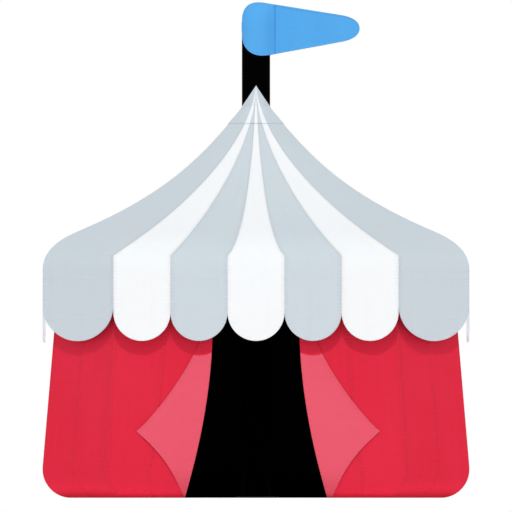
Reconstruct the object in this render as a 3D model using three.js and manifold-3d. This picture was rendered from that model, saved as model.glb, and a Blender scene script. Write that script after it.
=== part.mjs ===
import * as THREE from 'three';
import Module from 'manifold-3d';
import { mergeVertices } from 'three/addons/utils/BufferGeometryUtils.js';

// One-mast show tent on a square plan with cut corners. Millimetres, +Z up.
// The origin is on the mast's axis at the ground, and the entrance faces -Y.

const wasm = await Module();
wasm.setup();

const point = (x, z) => new THREE.Vector2(x, z);

// Driving dimensions
const halfSide = 5000;          // mast axis to the valance, 10 m across the flats
const strips = 5;               // canvas strips on each long side, 4 of one width to a corner
const stripWidth = 1333.3;
const seamShares = [2.5, 1.5, 0.5];     // seams from the middle of a long side, in strips
const apexHeight = 9724;        // tip of the canvas on the mast
const eaveHeight = 5667;        // seam where a strip bends down
const dropHeight = 5333;        // below this the valance hangs straight
const cuspHeight = 4333;        // top of the notches between two scallops
const scallopDrop = 667;        // depth of a scallop under its notches
const cornerScallopDrop = 833;
const lowestScallop = cuspHeight - scallopDrop;
const scallopSteps = 12;

const mastRadius = 333;
const mastHeight = 11072;
const wallTop = 5083;
const wallTopHalf = 4630;       // half-width of the walls at their top edge
const bulgeHeight = 700;        // widest line of the walls
const footRadius = 667;         // the wall's foot rolls inwards
const footTuck = 133;           // flat hem of the foot on the ground
const cornerRatio = 2 / 3;      // eave's corners as a share of the half-width
const wallCornerRatio = 0.7;    // walls' corners, likewise

const doorBottomHalf = 1667;
const doorTopHalf = 1013;
const doorStraightAbove = 4000;
const doorSweep = 1.85;         // how the door edges sweep out towards the ground
const doorHeight = 4600;

const roofThickness = 25;
const wallThickness = 20;
const flapThickness = 20;
const seamGap = 0.35;           // each strip stops this short of its seam
const seatGap = 0.4;            // between a piece and what carries it

const mitre = Math.tan(Math.PI / 8);

// Curves of the canvas, as half-width against height
const peakCurve = new THREE.CubicBezierCurve(
  point(0, apexHeight), point(1224, 7822), point(2452, 7022), point(4083, 6297));
const shoulderCurve = new THREE.CubicBezierCurve(
  point(4083, 6297), point(4427, 6150), point(halfSide, 5900), point(halfSide, dropHeight));
const shoulderHeight = peakCurve.v3.y;

// Seams of the strips on a long side, as distance from its middle against height
const seamEnd = (seam) => point(seamShares[seam] * stripWidth, eaveHeight);
const outerSeam = new THREE.CubicBezierCurve(
  point(0, apexHeight), point(136, 8362), point(1626, 6772), seamEnd(0));
const middleSeam = new THREE.CubicBezierCurve(
  point(0, apexHeight), point(35, 8351), point(1058, 6625), seamEnd(1));
const innerSeam = new THREE.CubicBezierCurve(
  point(0, apexHeight), point(15, 8859), point(194, 6055), seamEnd(2));

// Free edge of the left door flap, above and below the corner that is drawn back
const flapUpperEdge = new THREE.CubicBezierCurve(
  point(1100, doorHeight), point(1100, 3359), point(2577, 1682), point(2800, 1560));
const flapLowerEdge = new THREE.CubicBezierCurve(
  point(2800, 1560), point(2689, 1429), point(2083, 1034), point(doorBottomHalf, 0));
const flapTipHeight = flapUpperEdge.v3.y;
const flapFoot = 30;            // the flaps end above this height
const rightFlapWider = 100;     // the right flap's free edge stands this much further out

// Levels at which the sheets have a row of points
const crownHeight = 8880;
const peakHeights = [crownHeight, 8560, 8240, 7920, 7600, 7280, 6960, 6640];
const shoulderHeights = [shoulderHeight, 6150, 5980, 5820, eaveHeight, 5500, dropHeight];
const wallHeights = [wallTop, doorHeight, 4000, 3400, 2800, 2200, flapTipHeight, 1150, bulgeHeight];
const footSteps = 5;
const searchSteps = 50;         // halvings when a curve is read at a height

// Frame
const eaveBeamDepth = 250;
const eaveBeamInner = 4560;
const shoulderBeamWidth = 90;
const shoulderBeamDepth = 200;
const postRadius = 60;
const postClearance = 2;        // between a post and the eave beam
const postFootHalf = 3900;
const postSides = 12;
const postSteps = 12;
const footPlateHalf = 120;
const footPlateThickness = 12;
const mastPlateHalf = 480;
const mastPlateThickness = 40;
const roundSides = 48;
const weldDistance = 1e-3;

// Crown and flag
const collarThickness = 12;
const collarRadius = 353;
const collarFirstRise = 150;    // from the strips to the collar's second row
const collarMeetHeight = 9206;  // the collar's sides reach the mast here
const collarLip = 20;           // least height of its edge on the mast
const collarFacet = Math.PI / 8;
const crownRingDepth = 110;
const flagThickness = 30;
const flagSleeveRadius = 346;
const flagSide = 400;
const flagReach = 3000;         // more than the flag's length
const flagSteps = 6;

// Rounded ends of the flag's lower and upper edges, as distance from the mast's axis against height
const flagTip = point(2446, mastHeight);
const flagEnds = [
  [point(-mastRadius, 10949), point(-mastRadius, 10589), point(-112, 10365), point(298, 10440)],
  [point(1997, 10753), point(2303, 10805), point(2446, 10931), flagTip],
  [flagTip, point(2446, 11223), point(2303, 11344), point(1997, 11390)],
  [point(200, 11680), point(-40, 11719), point(-mastRadius, 11690), point(-mastRadius, 11244)],
].map((places) => new THREE.CubicBezierCurve(...places));

// Materials

function finish(name, color, roughness, metalness) {
  const material = new THREE.MeshStandardMaterial({ color, roughness, metalness });
  material.name = name;
  return material;
}

const greyCanvas = finish('grey_canvas', 0xccd6dd, 0.8, 0);
const whiteCanvas = finish('white_canvas', 0xf5f8fa, 0.8, 0);
const redCanvas = finish('red_canvas', 0xdd2e44, 0.8, 0);
const pinkLining = finish('pink_lining', 0xea596e, 0.75, 0);
const blueFlag = finish('blue_flag', 0x55acee, 0.7, 0);
const blackPaint = finish('black_paint', 0x0a0a0a, 0.55, 0.1);
const darkSteel = finish('dark_steel', 0x1d1f22, 0.5, 0.6);

// Curve lookups

function atHeight(curve, height) {
  let above = 0;
  let below = 1;
  for (let step = 0; step < searchSteps; step += 1) {
    const middle = (above + below) / 2;
    if (curve.getPoint(middle).y > height) above = middle;
    else below = middle;
  }
  return (above + below) / 2;
}

function across(curve, height) {
  if (height <= curve.v3.y) return curve.v3.x;
  return curve.getPoint(atHeight(curve, height)).x;
}

// Half-width of the roof at a height, and its inner surface one thickness in along the normal
function roofRow(height) {
  const curve = height > shoulderHeight ? peakCurve : shoulderCurve;
  const t = atHeight(curve, height);
  const half = curve.getPoint(t).x;
  const along = curve.getTangent(t);
  const normal = point(-along.y, along.x);
  return {
    half,
    height,
    innerHalf: half - roofThickness * normal.x,
    innerHeight: height - roofThickness * normal.y,
    seams: [outerSeam, middleSeam, innerSeam].map((seam) => across(seam, height)),
  };
}

// Sheets: an outer and an inner point for each place, faces listed from outside

function thicken(outer, inner, faces) {
  const count = outer.length;
  const index = [];
  const open = new Map();
  for (const [a, b, c] of faces) {
    index.push(a, b, c, a + count, c + count, b + count);
    for (const [from, to] of [[a, b], [b, c], [c, a]]) {
      if (open.has(`${to},${from}`)) open.delete(`${to},${from}`);
      else open.set(`${from},${to}`, [from, to]);
    }
  }
  // Edge faces are split from the higher outer place, so two sheets along a seam agree
  for (const [from, to] of open.values()) {
    if (outer[to].z > outer[from].z) {
      index.push(to, from, from + count, to, from + count, to + count);
    } else {
      index.push(to, from, to + count, from, from + count, to + count);
    }
  }
  const geometry = new THREE.BufferGeometry();
  const all = [...outer, ...inner].flatMap((place) => place.toArray());
  geometry.setAttribute('position', new THREE.Float32BufferAttribute(all, 3));
  geometry.setIndex(index);
  geometry.computeVertexNormals();
  return geometry;
}

// Faces between rows of equal length that run left to right and are stacked downwards
function ladder(rows, columns, closed = false) {
  const faces = [];
  const last = closed ? columns : columns - 1;
  for (let row = 0; row < rows - 1; row += 1) {
    for (let column = 0; column < last; column += 1) {
      const next = (column + 1) % columns;
      const upper = row * columns;
      const lower = upper + columns;
      faces.push([upper + column, lower + column, lower + next]);
      faces.push([upper + column, lower + next, upper + next]);
    }
  }
  return faces;
}

// A place on the front face, or on the corner face to the right of it
const onFront = (x, half, height) => new THREE.Vector3(x, -half, height);

function onCorner(share, corner, half, height) {
  const x = THREE.MathUtils.lerp(corner, half, share);
  return new THREE.Vector3(x, -(corner + half - x), height);
}

// One roof strip: gore, shoulder and hanging scallop. 'edges' gives its left and right
// place for a row, 'scallop' the arc of its lower end, both outside and inside.
function roofStrip(edges, scallop) {
  const outer = [];
  const inner = [];
  const heights = [...peakHeights, ...shoulderHeights];
  for (const height of heights) {
    const row = roofRow(height);
    outer.push(...edges(row.seams, row.half, height, 0));
    inner.push(...edges(row.seams, row.innerHalf, row.innerHeight, row.half - row.innerHalf));
  }
  const faces = ladder(heights.length, 2);
  const left = outer.length - 2;
  const first = outer.length;
  outer.push(...scallop(halfSide, 0));
  inner.push(...scallop(halfSide - roofThickness, roofThickness));
  const last = outer.length - 1;
  const middle = (first + last) / 2;
  for (let place = first; place < last; place += 1) {
    faces.push([place < middle ? left : left + 1, place, place + 1]);
  }
  faces.push([left, middle, left + 1]);
  return thicken(outer, inner, faces);
}

function scallopArc(place) {
  const arc = [];
  for (let step = 0; step <= scallopSteps; step += 1) {
    const angle = Math.PI * step / scallopSteps;
    arc.push(place(-Math.cos(angle), Math.sin(angle)));
  }
  return arc;
}

// Strips on a long side are numbered from the left, seen from outside
function sideStrip(number) {
  const seamAt = (seams, side, inset) => {
    const all = [-(seams[0] - mitre * inset), -seams[1], -seams[2],
      seams[2], seams[1], seams[0] - mitre * inset];
    return all[number + side] + (side === 0 ? seamGap : -seamGap);
  };
  const edges = (seams, half, height, inset) => [
    onFront(seamAt(seams, 0, inset), half, height),
    onFront(seamAt(seams, 1, inset), half, height),
  ];
  const eaveSeams = seamShares.map((share) => share * stripWidth);
  const scallop = (half, inset) => {
    const left = seamAt(eaveSeams, 0, inset);
    const right = seamAt(eaveSeams, 1, inset);
    return scallopArc((turn, sag) => onFront(
      (left + right) / 2 + turn * (right - left) / 2, half, cuspHeight - sag * scallopDrop));
  };
  return roofStrip(edges, scallop);
}

function cornerStrip() {
  const ends = (corner, half) => {
    const share = seamGap / Math.SQRT2 / (half - corner);
    return [share, 1 - share];
  };
  const edges = (seams, half, height, inset) => {
    const corner = seams[0] - mitre * inset;
    return ends(corner, half).map((share) => onCorner(share, corner, half, height));
  };
  const scallop = (half, inset) => {
    const corner = seamShares[0] * stripWidth - mitre * inset;
    const [left, right] = ends(corner, half);
    const top = lowestScallop + cornerScallopDrop;
    return scallopArc((turn, sag) => onCorner(
      (left + right) / 2 + turn * (right - left) / 2, corner, half, top - sag * cornerScallopDrop));
  };
  return roofStrip(edges, scallop);
}

// Collar at the mast: carries on from the strips, turns round, and ends in a point in
// front and behind. It has a column at each seam and at the middle of each strip.
function roofCrown() {
  const boreRadius = mastRadius / Math.cos(collarFacet / 2) + seatGap;
  const levels = [crownHeight + seatGap, crownHeight + collarFirstRise, collarMeetHeight];
  const outer = [];
  const inner = [];
  const quarter = (row, half, inset) => {
    const [outerPlace, middlePlace, innerPlace] = row.seams;
    const corner = outerPlace - mitre * inset;
    const stops = [-corner, -middlePlace, -innerPlace, innerPlace, middlePlace, corner];
    const places = [];
    stops.forEach((x, number) => {
      places.push(point(x, -half));
      if (number < strips) places.push(point((x + stops[number + 1]) / 2, -half));
    });
    const [near, far] = [point(corner, -half), point(half, -corner)];
    for (const share of [0.25, 0.5, 0.75]) places.push(near.clone().lerp(far, share));
    return places;
  };
  const ring = (row, half, inset, roundness, radius, height) => {
    const places = [];
    for (let side = 0; side < 4; side += 1) {
      for (const place of quarter(row, half, inset)) {
        const turned = place.clone().rotateAround(point(0, 0), side * Math.PI / 2);
        const round = turned.clone().setLength(radius);
        turned.lerp(round, roundness);
        places.push(new THREE.Vector3(turned.x, turned.y, height));
      }
    }
    return places;
  };
  const rows = [];
  for (const level of levels) {
    const row = roofRow(level);
    const roundness = (level - levels[0]) / (collarMeetHeight - levels[0]);
    const radius = Math.max(row.half, collarRadius);
    const outside = ring(row, row.half, 0, roundness, radius, level);
    const inside = ring(row, row.half - collarThickness, collarThickness,
      roundness, Math.max(radius - collarThickness, boreRadius), level);
    rows.unshift([outside, inside]);
  }
  const tipRow = rows[0].map((places) => places.map((place) => {
    const slope = (apexHeight - collarMeetHeight) / collarRadius;
    const rise = apexHeight - slope * Math.abs(place.x);
    return new THREE.Vector3(place.x, place.y, Math.max(rise, collarMeetHeight + collarLip));
  }));
  for (const [outside, inside] of [tipRow, ...rows]) {
    outer.push(...outside);
    inner.push(...inside);
  }
  return thicken(outer, inner, ladder(levels.length + 1, rows[0][0].length, true));
}

// Wall profile, from the top edge to the hem, each with its outward normal
function wallRows() {
  const rows = [];
  const lean = point(wallTop - bulgeHeight, halfSide - wallTopHalf).normalize();
  for (const height of wallHeights) {
    const share = (height - bulgeHeight) / (wallTop - bulgeHeight);
    rows.push({ half: halfSide + share * (wallTopHalf - halfSide), height, normal: lean });
  }
  for (let step = 1; step <= footSteps; step += 1) {
    const angle = -Math.PI / 2 * step / footSteps;
    const normal = point(Math.cos(angle), Math.sin(angle));
    rows.push({
      half: halfSide - footRadius + footRadius * normal.x,
      height: footRadius + footRadius * normal.y,
      normal,
    });
  }
  rows.push({ half: halfSide - footRadius - footTuck, height: 0, normal: point(0, -1) });
  return rows;
}

const wallCorner = (row) => wallCornerRatio * row.half - seamGap;

function doorEdge(height) {
  const share = Math.max(0, 1 - height / doorStraightAbove);
  return doorTopHalf + (doorBottomHalf - doorTopHalf) * share ** doorSweep;
}

// A panel of the wall between two edges, each a function of the row
function wallPanel(leftEdge, rightEdge, rows) {
  const outer = [];
  const inner = [];
  for (const row of rows) {
    const half = row.half - wallThickness * row.normal.x;
    const height = row.height - wallThickness * row.normal.y;
    const inset = mitre * wallThickness * row.normal.x;
    outer.push(onFront(leftEdge(row, 0), row.half, row.height));
    outer.push(onFront(rightEdge(row, 0), row.half, row.height));
    inner.push(onFront(leftEdge(row, inset), half, height));
    inner.push(onFront(rightEdge(row, inset), half, height));
  }
  return thicken(outer, inner, ladder(rows.length, 2));
}

const leftCorner = (row, inset) => -wallCorner(row) + inset;
const rightCorner = (row, inset) => wallCorner(row) - inset;

const sideWall = () => wallPanel(leftCorner, rightCorner, wallRows());
const doorSideLeft = () => wallPanel(leftCorner, (row) => -doorEdge(row.height), wallRows());
const doorSideRight = () => wallPanel((row) => doorEdge(row.height), rightCorner, wallRows());

function overDoor() {
  const edge = doorTopHalf - seamGap * 2;
  return wallPanel(() => -edge, () => edge, wallRows().slice(0, 2));
}

function cornerWall() {
  const outer = [];
  const inner = [];
  for (const row of wallRows()) {
    const half = row.half - wallThickness * row.normal.x;
    const height = row.height - wallThickness * row.normal.y;
    const corner = wallCornerRatio * row.half;
    const innerCorner = corner - mitre * wallThickness * row.normal.x;
    const share = seamGap / Math.SQRT2 / (row.half - corner);
    outer.push(onCorner(share, corner, row.half, row.height));
    outer.push(onCorner(1 - share, corner, row.half, row.height));
    inner.push(onCorner(share, innerCorner, half, height));
    inner.push(onCorner(1 - share, innerCorner, half, height));
  }
  return thicken(outer, inner, ladder(wallRows().length, 2));
}

// Flap turned back over the wall beside the doorway: 'side' is -1 left, 1 right
function doorFlap(side) {
  const outer = [];
  const inner = [];
  const wider = side > 0 ? rightFlapWider : 0;
  const rows = wallRows().filter((row) => row.height > flapFoot && row.height <= doorHeight);
  for (const row of rows) {
    const curve = row.height >= flapTipHeight ? flapUpperEdge : flapLowerEdge;
    const ends = [side * (across(curve, row.height) + wider), side * doorEdge(row.height)];
    ends.sort((a, b) => a - b);
    for (const x of ends) {
      const lift = (by) => onFront(
        x, row.half + by * row.normal.x, row.height + by * row.normal.y);
      outer.push(lift(seatGap + flapThickness));
      inner.push(lift(seatGap));
    }
  }
  return thicken(outer, inner, ladder(rows.length, 2));
}

// Frame

// Closed meshes as solids that can be joined, met and cut, and back
function toSolid(geometry) {
  const bare = geometry.clone();
  bare.deleteAttribute('normal');
  bare.deleteAttribute('uv');
  const merged = mergeVertices(bare, weldDistance);
  return new wasm.Manifold(new wasm.Mesh({
    numProp: 3,
    vertProperties: new Float32Array(merged.attributes.position.array),
    triVerts: new Uint32Array(merged.index.array),
  }));
}

function toGeometry(solid) {
  const mesh = solid.getMesh();
  const geometry = new THREE.BufferGeometry();
  geometry.setAttribute('position', new THREE.Float32BufferAttribute(mesh.vertProperties, 3));
  geometry.setIndex(new THREE.BufferAttribute(mesh.triVerts, 1));
  geometry.computeVertexNormals();
  return geometry;
}

function uprightCylinder(radius, bottom, top, sides = roundSides) {
  const cylinder = new THREE.CylinderGeometry(radius, radius, top - bottom, sides);
  return cylinder.rotateX(Math.PI / 2).translate(0, 0, (top + bottom) / 2);
}

const box = (width, depth, height, x, y, z) =>
  new THREE.BoxGeometry(width, depth, height).translate(x, y, z);

function octagon(half, corner) {
  const places = [];
  for (let side = 0; side < 4; side += 1) {
    for (const x of [-corner, corner]) {
      places.push(point(x, -half).rotateAround(point(0, 0), side * Math.PI / 2));
    }
  }
  return places;
}

function extrudeUp(shape, bottom, top) {
  const solid = new THREE.ExtrudeGeometry(shape, { depth: top - bottom, bevelEnabled: false });
  return solid.translate(0, 0, bottom);
}

function beamRing(outerHalf, outerCorner, innerHalf, bottom, top) {
  const shape = new THREE.Shape(octagon(outerHalf, outerCorner));
  const innerCorner = outerCorner - mitre * (outerHalf - innerHalf);
  shape.holes.push(new THREE.Path(octagon(innerHalf, innerCorner)));
  return extrudeUp(shape, bottom, top);
}

function eaveBeam() {
  const inset = roofThickness + seatGap;
  return beamRing(halfSide - inset, cornerRatio * halfSide - mitre * inset, eaveBeamInner,
    dropHeight - eaveBeamDepth, dropHeight);
}

// The beam under the shoulder touches the canvas along its upper outer edge
function shoulderBeamSize() {
  const row = roofRow(shoulderHeight);
  return {
    half: row.innerHalf - seatGap,
    corner: row.seams[0] - mitre * (row.half - row.innerHalf + seatGap),
    top: row.innerHeight,
  };
}

function shoulderBeam() {
  const size = shoulderBeamSize();
  return beamRing(size.half, size.corner, size.half - shoulderBeamWidth,
    size.top - shoulderBeamDepth, size.top);
}

// Posts stand at the plan's corners, lean out to the eave beam and turn over to the upper one,
// where their ends are cut to fit round its corner
function crookPost(mirrored) {
  const beam = shoulderBeamSize();
  const eaveHalf = eaveBeamInner - postRadius - postClearance;
  const eaveCorner = cornerRatio * halfSide - mitre * (halfSide - eaveHalf);
  const side = mirrored ? -1 : 1;
  const at = (corner, half, height) => new THREE.Vector3(side * corner, -half, height);
  const footShare = eaveCorner / eaveHalf;
  const armHeight = beam.top - shoulderBeamDepth + postRadius;
  const end = at(beam.corner, beam.half - postRadius, armHeight);
  const path = new THREE.CurvePath();
  const foot = at(footShare * postFootHalf, postFootHalf, -postRadius);
  const eave = at(eaveCorner, eaveHalf, dropHeight);
  const bend = at(eaveCorner, eaveHalf, armHeight - postRadius);
  path.add(new THREE.LineCurve3(foot, eave));
  path.add(new THREE.QuadraticBezierCurve3(eave, bend, end));
  const section = new THREE.Shape();
  section.absarc(0, 0, postRadius, 0, 2 * Math.PI);
  const tube = new THREE.ExtrudeGeometry(section, {
    extrudePath: path, steps: postSteps, curveSegments: postSides / 2, bevelEnabled: false,
  });
  const plate = box(2 * footPlateHalf, 2 * footPlateHalf, footPlateThickness,
    foot.x, foot.y, footPlateThickness / 2);
  const groundDepth = 4 * postRadius;
  const ground = box(4 * footPlateHalf, 4 * footPlateHalf, groundDepth, foot.x, foot.y, -groundDepth / 2);
  const beamPlan = new THREE.Shape(octagon(beam.half + seatGap, beam.corner + mitre * seatGap));
  const withinBeam = extrudeUp(beamPlan, beam.top - 2 * shoulderBeamDepth, beam.top + shoulderBeamDepth);
  const post = toSolid(tube).add(toSolid(plate));
  return toGeometry(post.subtract(toSolid(ground)).subtract(toSolid(withinBeam)));
}

const mast = () => uprightCylinder(mastRadius, mastPlateThickness + seatGap, mastHeight);

function mastFoot() {
  return box(2 * mastPlateHalf, 2 * mastPlateHalf, mastPlateThickness, 0, 0, mastPlateThickness / 2);
}

// Ring round the mast under the crown: the strips rest on its upper edge
function crownRing() {
  const row = roofRow(peakHeights[1]);
  const top = row.innerHeight;
  const rim = row.innerHalf - seatGap;
  const bore = mastRadius + seatGap;
  const profile = [point(bore, top - crownRingDepth), point(rim, top - crownRingDepth),
    point(rim, top), point(bore, top), point(bore, top - crownRingDepth)];
  return new THREE.LatheGeometry(profile, roundSides).rotateX(Math.PI / 2);
}

// Flag: its outline seen from the front, made of the sleeve over the mast's top and the fly
function flagOutline() {
  const outline = new THREE.Shape();
  for (const end of flagEnds) outline.add(end);
  return outline;
}

function flag() {
  const prism = new THREE.ExtrudeGeometry(flagOutline(), {
    depth: 2 * flagSide, curveSegments: flagSteps, bevelEnabled: false,
  });
  prism.rotateX(Math.PI / 2).translate(0, flagSide, 0);
  const low = mastHeight - flagReach / 2;
  const high = mastHeight + flagReach / 2;
  const fly = toSolid(box(flagReach, flagThickness, flagReach, flagReach / 2, 0, mastHeight));
  const sleeve = toSolid(uprightCylinder(flagSleeveRadius, low, high));
  const bore = toSolid(uprightCylinder(mastRadius + seatGap, mastHeight - flagReach, mastHeight + seatGap));
  return toGeometry(toSolid(prism).intersect(fly.add(sleeve)).subtract(bore));
}

// Assembly

const tent = new THREE.Group();

function place(name, geometry, material, turns = 0, parent = tent) {
  const mesh = new THREE.Mesh(geometry, material.clone());
  mesh.name = name;
  mesh.rotation.z = turns * Math.PI / 2;
  parent.add(mesh);
}

const sides = ['front', 'right', 'back', 'left'];
const corners = ['front_right', 'back_right', 'back_left', 'front_left'];

const roof = new THREE.Group();
sides.forEach((side, turns) => {
  for (let number = 0; number < strips; number += 1) {
    const canvas = number % 2 === 0 ? whiteCanvas : greyCanvas;
    place(`roof_${side}_${number + 1}`, sideStrip(number), canvas, turns, roof);
  }
});
corners.forEach((corner, turns) => {
  place(`roof_corner_${corner}`, cornerStrip(), greyCanvas, turns, roof);
});
place('roof_crown', roofCrown(), greyCanvas, 0, roof);
tent.add(roof);

const walls = new THREE.Group();
place('wall_front_left', doorSideLeft(), redCanvas, 0, walls);
place('wall_front_right', doorSideRight(), redCanvas, 0, walls);
place('wall_over_door', overDoor(), redCanvas, 0, walls);
sides.slice(1).forEach((side, number) => {
  place(`wall_${side}`, sideWall(), redCanvas, number + 1, walls);
});
corners.forEach((corner, turns) => {
  place(`wall_corner_${corner}`, cornerWall(), redCanvas, turns, walls);
});
place('door_flap_left', doorFlap(-1), pinkLining, 0, walls);
place('door_flap_right', doorFlap(1), pinkLining, 0, walls);
tent.add(walls);

const frame = new THREE.Group();
sides.forEach((side, turns) => {
  place(`post_${side}_left`, crookPost(true), darkSteel, turns, frame);
  place(`post_${side}_right`, crookPost(false), darkSteel, turns, frame);
});
place('eave_beam', eaveBeam(), darkSteel, 0, frame);
place('shoulder_beam', shoulderBeam(), darkSteel, 0, frame);
place('mast', mast(), blackPaint, 0, frame);
place('mast_foot', mastFoot(), darkSteel, 0, frame);
place('crown_ring', crownRing(), darkSteel, 0, frame);
place('flag', flag(), blueFlag, 0, frame);
tent.add(frame);

export default tent;
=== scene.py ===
import math

import bmesh
import bpy
from mathutils import Matrix, Vector


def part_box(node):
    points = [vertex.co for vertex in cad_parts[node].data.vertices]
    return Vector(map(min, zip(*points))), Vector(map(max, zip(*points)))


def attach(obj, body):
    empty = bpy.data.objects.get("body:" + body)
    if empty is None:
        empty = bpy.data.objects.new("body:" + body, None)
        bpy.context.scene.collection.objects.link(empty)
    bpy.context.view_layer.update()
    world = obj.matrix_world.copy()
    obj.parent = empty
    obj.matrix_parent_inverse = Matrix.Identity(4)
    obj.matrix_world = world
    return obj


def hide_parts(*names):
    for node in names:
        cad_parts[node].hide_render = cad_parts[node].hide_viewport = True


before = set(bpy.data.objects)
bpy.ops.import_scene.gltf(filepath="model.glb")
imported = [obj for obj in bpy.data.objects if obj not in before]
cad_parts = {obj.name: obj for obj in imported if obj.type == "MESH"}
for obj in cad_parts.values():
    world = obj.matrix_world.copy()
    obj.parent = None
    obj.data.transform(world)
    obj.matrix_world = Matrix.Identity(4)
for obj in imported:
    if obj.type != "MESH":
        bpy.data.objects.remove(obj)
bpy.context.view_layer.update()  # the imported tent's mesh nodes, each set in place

print("frame loaded:", len(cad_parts), "nodes")

# Plan and profile in metres: z is height, the mast stands at the origin, the entrance faces -Y
plan = {
    "halfSide": 5.0,  # mast axis to the valance
    "strips": 5,  # canvas strips on a long side
    "stripWidth": 4 / 3,
    "apex": 9.724,
    "crown": 8.88,  # where the collar takes over from the strips
    "shoulder": 6.297,  # beam where the canvas turns from hollow to full
    "shoulderHalf": 4.083,
    "eave": 5.667,
    "drop": 5.333,  # the valance hangs straight below this
    "cusp": 4.333,  # notches between scallops
    "cornerCusp": 4.5,
    "lowest": 3.667,  # lowest point of every scallop
    "mastRadius": 0.333,
    "mastTop": 11.072,
}

# Curves as Bezier points: distance from the axis, height
apexPoint, shoulderPoint = (0, plan["apex"]), (plan["shoulderHalf"], plan["shoulder"])
peakPoints = [apexPoint, (1.224, 7.822), (2.452, 7.022), shoulderPoint]
shoulderPoints = [shoulderPoint, (4.427, 6.15), (plan["halfSide"], 5.9), (plan["halfSide"], plan["drop"])]
seamPoints = [  # seams of a long side from its corner inwards
    [apexPoint, (0.136, 8.362), (1.626, 6.772), (2.5 * plan["stripWidth"], plan["eave"])],
    [apexPoint, (0.035, 8.351), (1.058, 6.625), (1.5 * plan["stripWidth"], plan["eave"])],
    [apexPoint, (0.015, 8.859), (0.194, 6.055), (0.5 * plan["stripWidth"], plan["eave"])],
]

sideNames = ["front", "right", "back", "left"]
cornerNames = ["front_right", "back_right", "back_left", "front_left"]


def mix(a, b, t):
    return a + (b - a) * t


def clamp(value, low=0.0, high=1.0):
    return min(max(value, low), high)


def smooth(low, high, value):  # 0 at low, 1 at high, eased between
    t = clamp((value - low) / (high - low))
    return t * t * (3 - 2 * t)


def bezier(points, t):
    weights = ((1 - t) ** 3, 3 * t * (1 - t) ** 2, 3 * t * t * (1 - t), t ** 3)
    return tuple(sum(w * p[axis] for w, p in zip(weights, points)) for axis in (0, 1))


def tabled(dense, start, end, steps=500):
    # the second coordinate of a fine line as a function of the first
    table = []
    place = 0
    ahead = 1 if end > start else -1
    for step in range(steps + 1):
        value = mix(start, end, step / steps)
        while place < len(dense) - 2 and ahead * dense[place + 1][0] < ahead * value:
            place += 1
        (first, low), (second, high) = dense[place], dense[place + 1]
        span = second - first
        table.append(mix(low, high, clamp((value - first) / span)) if span else low)

    def lookUp(value):
        where = clamp((value - start) / (end - start)) * steps
        low = min(int(where), steps - 1)
        return mix(table[low], table[low + 1], where - low)
    return lookUp


def falling(points, parts=2000):  # distance from the axis as a function of height
    dense = [bezier(points, step / parts) for step in range(parts + 1)]
    return tabled([(height, half) for half, height in dense], points[0][1], points[3][1])


peakHalf = falling(peakPoints)
shoulderHalf = falling(shoulderPoints)
outerSeam, middleSeam, innerSeam = (falling(points) for points in seamPoints)


def roofHalf(height):
    return peakHalf(height) if height >= plan["shoulder"] else shoulderHalf(height)


def cornerDistance(height):  # mast axis to the flat of the cut corner
    return (roofHalf(height) + outerSeam(height)) / math.sqrt(2)


def slopeOf(distance, height, step=0.01):
    if height < plan["drop"] + step:
        return 0.0
    return (distance(height + step) - distance(height - step)) / (2 * step)


def runDown(distance, top, bottom, step=0.01):  # cloth length from the top, against height
    line = [(top, 0.0)]
    while line[-1][0] > bottom:
        height, length = line[-1]
        run = math.hypot(distance(height - step) - distance(height), step)
        line.append((height - step, length + run))
    return tabled(line, top, bottom)


roofLength = runDown(roofHalf, plan["apex"], plan["lowest"])


# Shader helpers
class Wire:  # an output socket that can be added, multiplied and compared
    def __init__(self, kit, socket):
        self.kit, self.socket = kit, socket

    def maths(self, operation, *values):
        return self.kit.make("ShaderNodeMath", {"operation": operation}, dict(enumerate(values)))

    def __add__(self, other):
        return self.maths("ADD", self, other)

    def __radd__(self, other):
        return self.maths("ADD", other, self)

    def __sub__(self, other):
        return self.maths("SUBTRACT", self, other)

    def __rsub__(self, other):
        return self.maths("SUBTRACT", other, self)

    def __mul__(self, other):
        return self.maths("MULTIPLY", self, other)

    def __rmul__(self, other):
        return self.maths("MULTIPLY", other, self)

    def __truediv__(self, other):
        return self.maths("DIVIDE", self, other)

    def __gt__(self, other):
        return self.maths("GREATER_THAN", self, other)

    def __lt__(self, other):
        return self.maths("LESS_THAN", self, other)

    def __abs__(self):
        return self.maths("ABSOLUTE", self)

    def sine(self):
        return self.maths("SINE", self)

    def fraction(self):
        return self.maths("FRACT", self)

    def root(self):
        return self.maths("SQRT", self)

    def remap(self, low, high):  # 0 at low, 1 at high, eased and held beyond
        return self.kit.make("ShaderNodeMapRange", {"interpolation_type": "SMOOTHSTEP"},
                             {0: self, 1: low, 2: high})


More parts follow.
